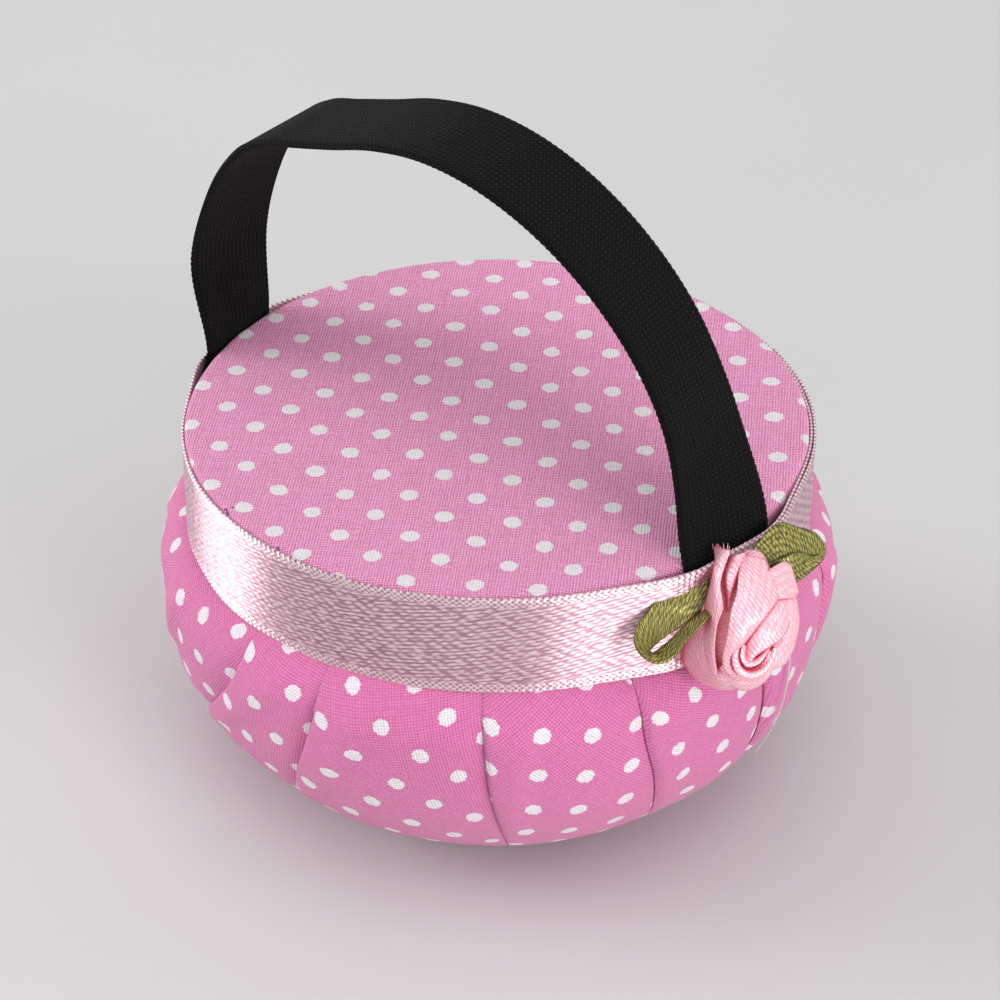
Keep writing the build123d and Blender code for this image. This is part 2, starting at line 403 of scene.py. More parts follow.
def satin(
    name, light, dark, metallic, gloss,
    dash_turn=12.0, dash=(1.3, 0.42), coarse=0.0, edge_beads=None, crease=None,
):
    """Ribbon satin: floats along the tape, caught down in slanting rows of short dashes.
    gloss is (roughness, anisotropy), dash a dash's length and the spacing of its rows;
    coarse adds an open weave under them, and crease is a colour of painted shade deep between folds.
    edge_beads, the tape's width, adds its two beaded selvedges."""
    roughness, anisotropy = gloss
    g = Graph(name, Metallic=metallic, Anisotropic=anisotropy, Anisotropic_Rotation=0.25)
    tangent = g.node("Tangent", direction_type="UV_MAP", uv_map="cloth").outputs[0]
    g.feed(g.shader.inputs["Tangent"], tangent)
    cloth = g.cloth()
    run = g.math("DIVIDE", g.vector("DOT_PRODUCT", cloth, unit(dash_turn)), dash[0])
    row = g.math("DIVIDE", g.vector("DOT_PRODUCT", cloth, unit(dash_turn + 90)), dash[1])
    stagger = g.times(g.math("ROUND", row), 0.37)
    wave = g.math("SINE", g.times(g.plus(run, stagger), TAU))
    ridge = g.math("COSINE", g.times(row, TAU))
    speck = g.noise(g.joined(run, g.times(row, 1.6), 0.0), 1.0, 2.0)
    height = g.plus(speck, g.times(ridge, 0.16))
    height = g.plus(height, g.times(wave, 0.14))
    if coarse:
        weave, *_ = plain_weave(g, cloth, 0.42, 45.0)
        height = g.plus(height, g.times(weave, coarse))
    # Colour tone: the floats and random specks come out lighter than the gaps, partly the satin's float
    # pattern and partly painted sheen and glints; with coarse, tone follows the weave's height, painted
    # shade in its hollows
    floats = g.plus(g.times(ridge, 0.30), g.times(wave, 0.24))
    floats = g.plus(floats, g.times(g.minus(speck, 0.5), 2.6))
    tone = g.ramp(height, 0.2, 0.85 + coarse) if coarse else g.ramp(floats, -0.35, 0.45)
    colour = g.blend(tone, dark, light)
    if edge_beads:
        split = g.node("SeparateXYZ", cloth)
        middle = edge_beads / 2
        from_middle = g.math("ABSOLUTE", g.minus(split.outputs[1], middle))
        edge = g.ramp(from_middle, middle - SELVEDGE - 0.1, middle - SELVEDGE + 0.1)
        along_edge = g.math("COSINE", g.times(split.outputs[0], TAU / BEAD_PITCH))
        over_edge = g.math("COSINE", g.times(from_middle, TAU / 0.6))
        beads = g.plus(g.times(g.times(along_edge, over_edge), 0.5), 0.5)
        beads = g.plus(beads, g.times(g.minus(speck, 0.5), 0.8))
        colour = g.blend(edge, colour, g.blend(g.ramp(beads, 0.1, 0.7), SELVEDGE_GAP, SELVEDGE_BEAD))
        height = g.plus(height, g.times(g.times(beads, edge), 0.5))
    # Painted shade: the crease colour where ambient occlusion finds the ribbon's folds closing in
    if crease:
        colour = g.shaded(colour, crease, SATIN_SHADE_REACH, 0.45, 1.0)
    shine = g.ramp(floats, -0.3, 0.4, roughness + 0.08, roughness - 0.08)
    return g.finish(colour, height, depth=0.00006 * (1 + coarse), roughness=shine)


def woven_elastic(name):
    """Black knitted elastic: fine rows across the tape and ribs along it."""
    g = Graph(name, Roughness=0.85, Sheen_Weight=0.02, Sheen_Roughness=0.4, Specular_IOR_Level=0.12)
    cloth = g.cloth()
    split = g.node("SeparateXYZ", cloth)
    run, side = split.outputs[0], split.outputs[1]
    rows = g.math("SINE", g.times(run, TAU / 0.55))
    ribs = g.math("SINE", g.times(side, TAU / 0.72))
    knit = g.times(rows, ribs)
    fuzz = g.noise(cloth, 2.2, 4.0)
    height = g.plus(g.times(knit, 0.5), g.times(g.plus(rows, ribs), 0.22))
    height = g.plus(height, fuzz)
    # Colour: lighter on the knit's crowns and darker in its hollows, painted highlight and shade, with
    # the fuzz's own random tone
    tone = g.ramp(height, 0.0, 1.4)
    colour = g.blend(tone, (0.0009, 0.0009, 0.0011, 1), (0.0050, 0.0050, 0.0055, 1))
    return g.finish(colour, height, depth=0.00016)


def marbled(name, low, high, scale, roughness, depth=0.0001, **values):
    """Even material with small tonal noise, for threads, glue, card and fibre."""
    g = Graph(name, Roughness=roughness, **values)
    where = g.position()
    tone = g.noise(where, scale, 4.0)
    return g.finish(g.blend(g.ramp(tone, 0.3, 0.7), low, high), tone, depth=depth)


BASE_COTTON = dotted_cotton("dotted_cotton_base", BASE_PINK, BASE_DOT, (-0.338, -2.154))
# The dome's cotton takes the darker pink, painted shade
DOME_COTTON = dotted_cotton(
    "dotted_cotton_dome", DOME_PINK_SHADED, DOME_DOT, (-0.96, -0.96), DOME_GRAIN, shade_creases=True,
)
BAND_SATIN = satin(
    "pink_satin", (0.92, 0.68, 0.75, 1), (0.54, 0.30, 0.38, 1), 0.90, (0.46, 0.99),
    dash_turn=9.0, dash=(1.35, 0.48), edge_beads=TAPE_WIDTH,
)
# The coral crease colour is painted shade, with the glow of light bounced between the petals
ROSE_SATIN = satin(
    "rose_satin", (1.0, 0.68, 0.75, 1), (0.90, 0.34, 0.44, 1), 0.35, (0.36, 0.6), dash_turn=40.0,
    coarse=0.35, crease=(0.88, 0.15, 0.24, 1),
)
# The rose's core: a darker, deeper coral copy of the rose satin, painted shade with the glow of light
# bounced between the petals
ROSE_CORE_SHADE = satin(
    "rose_satin_core_shade", (1.0, 0.44, 0.51, 1), (0.95, 0.28, 0.36, 1), 0.0, (0.5, 0.4), coarse=0.5,
)
# The near-black crease colour is painted shade, deepest at the loops' roots
LEAF_SATIN = satin(
    "green_satin", (0.40, 0.37, 0.105, 1), (0.085, 0.075, 0.012, 1), 0.45, (0.32, 0.5),
    dash_turn=58.0, dash=(0.9, 0.42), crease=(0.025, 0.022, 0.003, 1),
)
ELASTIC = woven_elastic("black_elastic")
CARD = marbled("card", (0.50, 0.43, 0.33, 1), (0.62, 0.55, 0.44, 1), 900.0, 0.9)
THREAD = marbled("thread", (0.70, 0.42, 0.52, 1), (0.86, 0.62, 0.70, 1), 4000.0, 0.7)
DARK_THREAD = marbled("dark_thread", (0.02, 0.012, 0.016, 1), (0.05, 0.03, 0.04, 1), 4000.0, 0.7)
GLUE = marbled(
    "glue", (0.80, 0.76, 0.70, 1), (0.88, 0.86, 0.82, 1), 500.0, 0.3, Transmission_Weight=0.5,
)
FIBRE = marbled("fibre_fill", (0.80, 0.79, 0.76, 1), (0.92, 0.91, 0.89, 1), 700.0, 0.95, depth=0.0006)

NODE_MATERIALS = {
    "base_disc": CARD,
    "base_gather_thread": THREAD,
    "dome_gather_thread": THREAD,
    "rose_thread": THREAD,
    "join_glue": GLUE,
    "rose_glue": GLUE,
    "stuffing": FIBRE,
    "tacking_stitches": DARK_THREAD,
}
for node, material in NODE_MATERIALS.items():
    for holder in frame["nodes"][node].material_slots:
        holder.material = material

# ---- pleated dome

REST_RADIUS = 16.0
WIDEST_HEIGHT = 28.4
NECK_FOOT = BAND_FOOT
NECK_RADIUS = 36.7
BOWL_POWER = 2.1
TURNED_IN_RADIUS = 29.5
SKIN = 0.35                 # cotton thickness
# Fold lines: direction from the camera's side at the ribbon, and drift by the bowl's foot
FOLDS = (
    (-74.0, -26.0), (-46.5, -40.0), (-30.0, -17.0), (-2.5, 5.0), (23.5, 11.0),
    (49.0, 8.0), (75.0, 4.0), (101.0, -4.0), (127.0, 6.0), (152.0, 5.0),
    (176.0, -6.0), (203.0, -5.0), (229.0, -6.0), (256.0, -20.0),
)
FOLD_FOOT = 5.0             # height at which a fold line has drifted its full way
FOLD_BEND = 1.7
FOLD_LAYERS = 2.3           # height of a fold edge, in cloth thicknesses
SKIN_FOOT = 0.15            # height of the skin where the dome rests
PLEATS_GROW = (14.0, 44.0)  # length along the skin over which the pleats take their depth
FOLDS_GROW = (8.0, 24.0)    # heights over which a fold edge takes its full height
WALL_GROWS = (3.0, 16.0)    # heights over which the dome's foot turns into its wall
PUFF = 0.9                  # how far a panel swells between its folds
BULGE = 0.35                # unevenness of the stuffing
LEAN = 0.5                  # the dome sits a little higher on one side
LEAN_TOWARDS = 80.0
TURNED_IN_HEIGHT = DOME_TOP - 0.3


def dome_profile():
    """The dome's skin in section, from the rest point up to where it is turned in.
    Each place is (radius, height, length so far)."""
    line = [(REST_RADIUS * i / 8, SKIN_FOOT) for i in range(9)]
    steps = 44
    for i in range(1, steps + 1):
        turn = math.pi / 2 * i / steps
        out = math.sin(turn) ** (2 / BOWL_POWER)
        up = 1 - math.cos(turn) ** (2 / BOWL_POWER)
        line.append((
            REST_RADIUS + (DOME_RADIUS - REST_RADIUS - SKIN) * out,
            SKIN_FOOT + (WIDEST_HEIGHT - SKIN_FOOT) * up,
        ))
    steps = 12
    for i in range(1, steps + 1):
        turn = math.pi / 2 * i / steps
        line.append((
            NECK_RADIUS - SKIN + (DOME_RADIUS - NECK_RADIUS) * math.cos(turn),
            WIDEST_HEIGHT + (NECK_FOOT - WIDEST_HEIGHT) * math.sin(turn),
        ))
    for i in range(1, 6):
        line.append((NECK_RADIUS - SKIN, mixed(NECK_FOOT, TURNED_IN_HEIGHT, i / 5)))
    for i in range(1, 6):
        line.append((mixed(NECK_RADIUS - SKIN, TURNED_IN_RADIUS, i / 5), TURNED_IN_HEIGHT))
    profile, length, before = [], 0.0, line[0]
    for place in line:
        length += math.dist(place, before)
        profile.append((place[0], place[1], length))
        before = place
    return profile


def fold_turn(index, height):
    """Direction of a fold line at a height, in degrees round from the camera's side."""
    at_ribbon, drift = FOLDS[index % len(FOLDS)]
    lap = 360.0 * (index // len(FOLDS))
    part = min(max((NECK_FOOT - height) / (NECK_FOOT - FOLD_FOOT), 0.0), 1.0) ** FOLD_BEND
    return at_ribbon + lap + drift * part + 0.5 * wobble(height, index * 31.0, 9.0, 2)


def dome():
    """The skin as one closed ring of panels, each with its tuck folded under the next panel's edge."""
    sheet = Sheet("dome_pleated_cover")
    profile = dome_profile()
    count = len(FOLDS)
    panel_steps, tuck_steps = 22, 4
    rows = []
    middles = cuts = None
    for r, z, length in profile[1:]:
        row = []
        firm = smooth(*PLEATS_GROW, length)
        free = smooth(NECK_FOOT + 0.2, NECK_FOOT - 6.0, z)
        # middle of each panel on the dome, and the same line on the flat cloth, laid without shear
        now = [(fold_turn(k, z) + fold_turn(k + 1, z)) / 2 for k in range(count + 1)]
        before = middles or now
        cuts = [c + (m - b) * r / length for c, m, b in zip(cuts or now, now, before)]
        middles = now
        for k in range(count):
            here, there = fold_turn(k, z), fold_turn(k + 1, z)
            hidden = cuts[k + 1] - cuts[k] - (now[k + 1] - now[k]) * r / length
            tuck = max(math.radians(hidden) * length / 2, 0.02)
            tuck_turn = math.degrees(tuck / max(r, 1.0))
            stack = FOLD_LAYERS * SKIN * firm * mixed(0.4, 1.0, smooth(*FOLDS_GROW, z))

            def put(turn, lift, fold_side):
                cut = cuts[k] + (turn - now[k]) * r / length
                if fold_side:
                    cut = cuts[k] + (there - now[k]) * r / length + math.degrees(fold_side / length)
                across = (turn - here) / max(there - here, 1.0)
                puff = PUFF * math.sin(math.pi * min(max(across, 0), 1)) ** 0.7 * firm * free
                lean = LEAN * math.cos(math.radians(turn - LEAN_TOWARDS)) * smooth(5, 25, z) * free
                wall = smooth(*WALL_GROWS, z)
                out = r + (lift * mixed(0.35, 1.0, free) + puff) * wall
                drop = z - (lift * (1 - wall) * 0.2)
                reach = out + BULGE * wobble(turn * 0.6, z, 12.0, 5) * smooth(2.0, 12.0, z) * free
                around = math.radians(turn + FRONT)
                flat = math.radians(cut + FRONT)
                place = (*polar(reach, around), max(drop + lean, 0.1))
                return sheet.point(place, polar(length, flat))

            # the panel, from its raised fold edge to where it runs under the next fold
            for i in range(panel_steps + 1):
                part = (i / panel_steps) ** 1.5
                turn = mixed(here, there, part)
                arc = math.radians(turn - here) * r
                lift = stack * (1 - smooth(tuck, tuck + 3.0, arc))
                edge = stack * bump(arc, 0.0, 0.35)
                row.append(put(turn, lift - edge, 0.0))
            # its underlap, then the return layer back to the next fold edge
            for i in range(1, tuck_steps + 1):
                row.append(put(there + tuck_turn * i / tuck_steps, 0.0, tuck * i / tuck_steps))
            for i in range(1, tuck_steps):
                back = 1 - i / tuck_steps
                row.append(put(there + tuck_turn * back, stack * 0.4, tuck * (2 - back)))
        row.append(row[0])
        rows.append(row)
    sheet.grid(rows)
    centre = sheet.point((0, 0, SKIN_FOOT), (0, 0))
    first = rows[0]
    for i in range(len(first) - 1):
        sheet.faces.append((centre, first[i + 1], first[i]))
    made = sheet.build(DOME_COTTON, replaces=("dome_cover",))


# ---- covered base

RIM_ROLL = 0.8              # radius of the cover's rounded rim
RIM_SWELL = 0.08            # how far that rim stands proud
COTTON_SINK = 0.05          # the face is laid this far under its nominal height
UNDER_RADIUS = 27.0         # inner edge of the cloth turned under


def base_cover():
    """Cotton drawn over the card disc, rolled round its rim and turned under."""
    sheet = Sheet("base_dotted_cover")
    line = []
    for i in range(1, 31):
        line.append(((BASE_RADIUS - RIM_ROLL) * i / 30, FACE_HEIGHT))
    for i in range(1, 9):
        turn = math.pi / 2 * i / 8
        line.append((
            BASE_RADIUS - RIM_ROLL + (RIM_ROLL + RIM_SWELL) * math.sin(turn),
            FACE_HEIGHT - RIM_ROLL + RIM_ROLL * math.cos(turn),
        ))
    line.append((BASE_RADIUS, COVER_LOW.z + 0.3))
    line.append((BASE_RADIUS - 0.3, COVER_LOW.z + 0.02))
    line.append((UNDER_RADIUS, COVER_LOW.z + 0.02))
    columns = 288
    rows, length, before = [], 0.0, (0.0, FACE_HEIGHT)
    for r, z in line:
        length += math.dist((r, z), before)
        before = (r, z)
        row = []
        near_rim = smooth(BASE_RADIUS - 7.0, BASE_RADIUS, r)
        for i in range(columns):
            turn = TAU * i / columns
            flat = polar(length, turn)
            sag = 0.08 * wobble(flat[0], flat[1], 11.0, 1) + 0.16
            pucker = 0.10 * near_rim * wobble(math.degrees(turn) * 0.75, r * 0.12, 2.1, 4)
            top = z > FACE_HEIGHT - RIM_ROLL
            lift = (sag + pucker) if top else 0.0
            row.append(sheet.point((*polar(r, turn), z + lift - COTTON_SINK), flat))
        row.append(row[0])
        rows.append(row)
    sheet.grid(rows, flip=True)
    centre = sheet.point((0, 0, FACE_HEIGHT - COTTON_SINK), (0, 0))
    for i in range(columns):
        sheet.faces.append((centre, rows[0][i], rows[0][i + 1]))
    made = sheet.build(BASE_COTTON, replaces=("base_cover",))


# ---- ribbon band

STRAP_WIDTH = TAPE_WIDTH
STRAP_THICKNESS = 0.9
FOOT_TURN = 7.7             # each strap end is turned this far to lie against the rim
END_TURNS = (180 + FOOT_TURN, -FOOT_TURN)
BAND_RADIUS = 37.0
BAND_THICKNESS = 0.28
BAND_SINK = 0.38            # inner face of the first turn, inside the band's radius
BAND_LAP_LIFT = 0.32        # how far the lapped end rides out over the first turn
BAND_DROP = (-0.25, -1.05)  # change of the band's height, at the front and at the back
BAND_START, BAND_END = -16.0, 360.0 + 64.0


def band_radius(turn):
    """Radius of the taut ribbon, eased over the corners of the strap's ends but never inside them."""
    steps = (-3, -2, -1, 0, 1, 2, 3)
    return sum(max(taut_radius(turn + near + far) for far in steps) for near in steps) / len(steps)


def taut_radius(turn):
    """Radius of a tight hull that runs straight off the strap's ends to the rim."""
    tab_face = BAND_RADIUS + STRAP_THICKNESS
    corner = math.hypot(tab_face, STRAP_WIDTH / 2)
    corner_turn = math.atan2(STRAP_WIDTH / 2, tab_face)
    touch = corner_turn + math.acos(BAND_RADIUS / corner)
    radius = BAND_RADIUS
    for end in END_TURNS:
        away = abs(math.radians((turn - end + 180) % 360 - 180))
        if away < corner_turn:
            radius = tab_face / math.cos(away)
        elif away < touch:
            radius = BAND_RADIUS / math.cos(touch - away)
    return radius


def ribbon_band():
    """Satin ribbon drawn round the joint, its cut end lapped over its start."""
    sheet = Sheet("satin_ribbon_band")
    height = BAND_TOP - BAND_FOOT
    length, before = 0.0, None
    rows = []
    steps = int(math.radians(BAND_END - BAND_START) * BAND_RADIUS / (BEAD_PITCH / 4))
    for i in range(steps + 1):
        turn = mixed(BAND_START, BAND_END, i / steps)
        lap = smooth(BAND_START + 356, BAND_START + 364, turn)
        second = turn - 360.0
        loose = smooth(4.0, 24.0, second) * smooth(62.0, 40.0, second)
        radius = band_radius(turn) - BAND_SINK + BAND_LAP_LIFT * lap
        place = Vector(polar(radius, math.radians(turn)))
        if before is not None:
            length += (place - before).length
        before = place
        outward = place.normalized()
        bead = 0.5 + 0.5 * math.cos(TAU * length / BEAD_PITCH)
        row = []
        across = [0.0, 0.25, 0.55, 0.85, SELVEDGE, SELVEDGE + 0.25]
        levels = across + [height * part for part in (0.22, 0.36, 0.5, 0.64, 0.78)]
        levels += [height - value for value in reversed(across)]
        for level in levels:
            part = level / height
            edge = min(level, height - level)
            swell = 0.07 * bead * bump(edge, 0.35, 0.3)
            groove = -0.03 * bump(edge, SELVEDGE, 0.18)
            bow = 0.12 * (1 - part) ** 2
            wave = 0.10 * wobble(length, level, 9.0, 3)
            shift = 0.16 * (bead - 0.5) if edge < 0.01 else 0.0
            shift = -shift if part < 0.5 else shift
            from_front = abs((turn - FRONT + 180) % 360 - 180)
            drop = mixed(*BAND_DROP, smooth(30.0, 120.0, from_front))
            drift = 0.15 * wobble(length, 0.0, 24.0, 6) + drop
            out = outward * (swell + groove + bow + wave + loose * 0.15 * part + BAND_THICKNESS)
            spot = (place.x + out.x, place.y + out.y, BAND_FOOT + level + shift + drift)
            row.append(sheet.point(spot, (length, level)))
        rows.append(row)
    sheet.grid(rows)
    made = sheet.build(BAND_SATIN, replaces=("ribbon_band",))
    thicken(made, BAND_THICKNESS, -1.0)


def thicken(made, thickness, offset=0.0):
    """Gives a sheet its cloth thickness."""
    modifier = made.modifiers.new("thickness", "SOLIDIFY")
    modifier.thickness = thickness * MM
    modifier.offset = offset
    modifier.use_even_offset = False


# ---- wrist strap

# The strap's middle line, left foot to right:
# across, up from the face, sideways from its foot line, and roll in degrees
STRAP_LINE = (
    (-37.25, -11.5, 0.0, 0.0), (-37.25, -4.0, 0.0, 0.0), (-37.0, 1.5, 0.0, -1.0),
    (-37.1, 12.5, -0.6, -2.9), (-33.3, 23.2, -1.1, -1.5), (-28.3, 30.4, -1.7, 0.0),
    (-23.5, 33.8, -2.1, 1.5), (-18.7, 35.4, -2.4, 2.5), (-13.1, 37.2, -2.7, 3.2),
    (-6.8, 39.2, -2.7, 3.8), (0.3, 40.1, -2.6, 3.6), (7.9, 39.0, -2.3, 2.6),
    (15.4, 35.9, -1.9, 1.2), (22.2, 31.0, -1.4, -0.4), (27.7, 24.7, -0.8, -1.6),
    (31.7, 17.5, -0.4, -2.2), (34.1, 9.9, 0.0, 2.0), (36.0, 2.4, 0.1, 6.0),
    (37.25, -4.0, 0.0, 0.0), (37.25, -11.5, 0.0, 0.0),
)
STRAP_CUT = 15.75           # above the face, between the two bends
SCALLOP_PITCH = 0.8
SCALLOP_DEPTH = 0.055
BACK_CLOTH = 30             # keeps the back's cloth coordinates clear of the front's


def catmull(points, count):
    """Points spread evenly along a smooth line through the given ones."""
    dense = []
    for i in range(len(points) - 1):
        p0, p1 = points[max(i - 1, 0)], points[i]
        p2, p3 = points[i + 1], points[min(i + 2, len(points) - 1)]
        for j in range(24):
            t = j / 24
            dense.append(tuple(
                0.5 * (
                    2 * b + (c - a) * t + (2 * a - 5 * b + 4 * c - d) * t * t
                    + (3 * b - a - 3 * c + d) * t ** 3
                )
                for a, b, c, d in zip(p0, p1, p2, p3)
            ))
    dense.append(tuple(points[-1]))
    lengths = [0.0]
    for a, b in zip(dense, dense[1:]):
        lengths.append(lengths[-1] + math.dist(a[:3], b[:3]))
    spread, k = [], 0
    for i in range(count + 1):
        want = lengths[-1] * i / count
        while k < len(lengths) - 2 and lengths[k + 1] < want:
            k += 1
        part = (want - lengths[k]) / max(lengths[k + 1] - lengths[k], 1e-9)
        spread.append(tuple(mixed(a, b, part) for a, b in zip(dense[k], dense[k + 1])))
    return spread, lengths[-1]


def strap_frames():
    """Evenly spaced frames along the strap: place, direction across the width, outward, length."""
    _, total = catmull(STRAP_LINE, 10)
    count = int(total / (SCALLOP_PITCH / 4))
    line, _ = catmull(STRAP_LINE, count)
    frames = []
    for i, (across, up, side, roll) in enumerate(line):
        before, after = line[max(i - 1, 0)], line[min(i + 1, count)]
        run = Vector((after[0] - before[0], after[2] - before[2], after[1] - before[1])).normalized()
        # each foot is turned to lie against the rim
        foot = smooth(14.0, -1.0, up)
        turn = math.radians((-FOOT_TURN if across > 0 else FOOT_TURN) * foot)
        width = Vector((-math.sin(turn), math.cos(turn), 0.0))
        width = (width - run * width.dot(run)).normalized()
        out = run.cross(width)
        tilt = math.radians(roll)
        c, s = math.cos(tilt), math.sin(tilt)
        width, out = width * c + out * s, out * c - width * s
        place = Vector((across, STRAP_OFFSET + side, FACE_HEIGHT + up))
        frames.append((place, width, out, total * i / count))
    return frames


def strap_piece(name, frames):
    """One closed length of the elastic, with its scalloped edges and raised edge ribs."""
    sheet = Sheet(name)
    half, thick = STRAP_WIDTH / 2, STRAP_THICKNESS / 2
    levels = [-1 + 2 * i / 26 for i in range(27)]
    rows = []
    for place, width, out, length in frames:
        scallop = SCALLOP_DEPTH * math.cos(TAU * length / SCALLOP_PITCH)
        ring = []
        for face in (1, -1):
            for level in levels if face > 0 else reversed(levels):
                away = 1 - abs(level)
                reach = level * (half + scallop * smooth(0.12, 0.0, away))
                thin = math.sqrt(max(1 - max(0.0, 1 - away / 0.06) ** 2, 0.04))
                rib = 0.10 * bump(away, 0.11, 0.025) - 0.07 * bump(away, 0.17, 0.02)
                depth = face * (thick * thin + rib)
                spot = place + width * reach + out * depth
                ring.append(sheet.point(spot, (length, reach + (BACK_CLOTH if face < 0 else 0))))
        ring.append(ring[0])
        rows.append(ring)
    sheet.grid(rows)
    sheet.faces.append(tuple(reversed(rows[0][:-1])))
    sheet.faces.append(tuple(rows[-1][:-1]))
    made = sheet.build(ELASTIC, bodies=None)
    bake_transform(made)
    return made


def strap():
    frames = strap_frames()
    cut = FACE_HEIGHT + STRAP_CUT
    left_cut = next(i for i, f in enumerate(frames) if f[0].z > cut)
    right_cut = next(i for i in range(len(frames) - 1, 0, -1) if frames[i][0].z > cut)
    left = strap_piece("strap_lower_left", frames[:left_cut + 1])
    right = strap_piece("strap_lower_right", frames[right_cut:])
    upper = strap_piece("strap_upper", frames[left_cut:right_cut + 1])
    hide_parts("strap_end_left", "strap_leg_left")
    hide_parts("strap_end_right", "strap_leg_right")
    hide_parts("strap_crown")


# ---- rose and leaves

# The rose's own frame: x to the right, y up and z outwards as one looks at its open side
ROSE_PLACE = Vector((43.0, -10.5, 42.0))
ROSE_TURN = CAMERA_AZIMUTH
ROSE_TILT = CAMERA_ELEVATION
ROSE_CLOTH = 0.14
LEAF_CLOTH = 0.22


def rose_axes():
    turn, rise = radians(ROSE_TURN, ROSE_TILT)
    right = Vector((math.cos(turn), math.sin(turn), 0.0))
    level = math.cos(rise)
    out = Vector((math.sin(turn) * level, -math.cos(turn) * level, math.sin(rise)))
    return right, out.cross(right), out


ROSE_RIGHT, ROSE_UP, ROSE_OUT = rose_axes()


def rose_point(x, y, z):
    return ROSE_PLACE + ROSE_RIGHT * x + ROSE_UP * y + ROSE_OUT * z


def rose_swell(x, y):
    """Depth of the rose's rounded front."""
    return 1.5 - 0.13 * (x - 0.5) ** 2 - 0.06 * (y + 0.5) ** 2


def strip(sheet, stations, steps, crown, start=0.0):
    """A length of ribbon through stations, each its two edges' x, y and depth in turn.
    crown lifts its middle; start is where its cloth coordinates begin."""
    line, total = catmull(stations, steps)
    rows = []
    for i, values in enumerate(line):
        left, right = Vector(values[:3]), Vector(values[3:])
        width = (right - left).length
        row = []
        for j in range(13):
            part = j / 12
            place = left.lerp(right, part)
            place.z += crown * (1 - (2 * part - 1) ** 2) * min(width / 2.0, 1.0)
            place.z += 0.10 * wobble(place.x + start, place.y, 1.6, 8)
            along_cloth = start + total * i / steps
            row.append(sheet.point(rose_point(*place), (along_cloth, part * width)))
        rows.append(row)
    sheet.grid(rows)


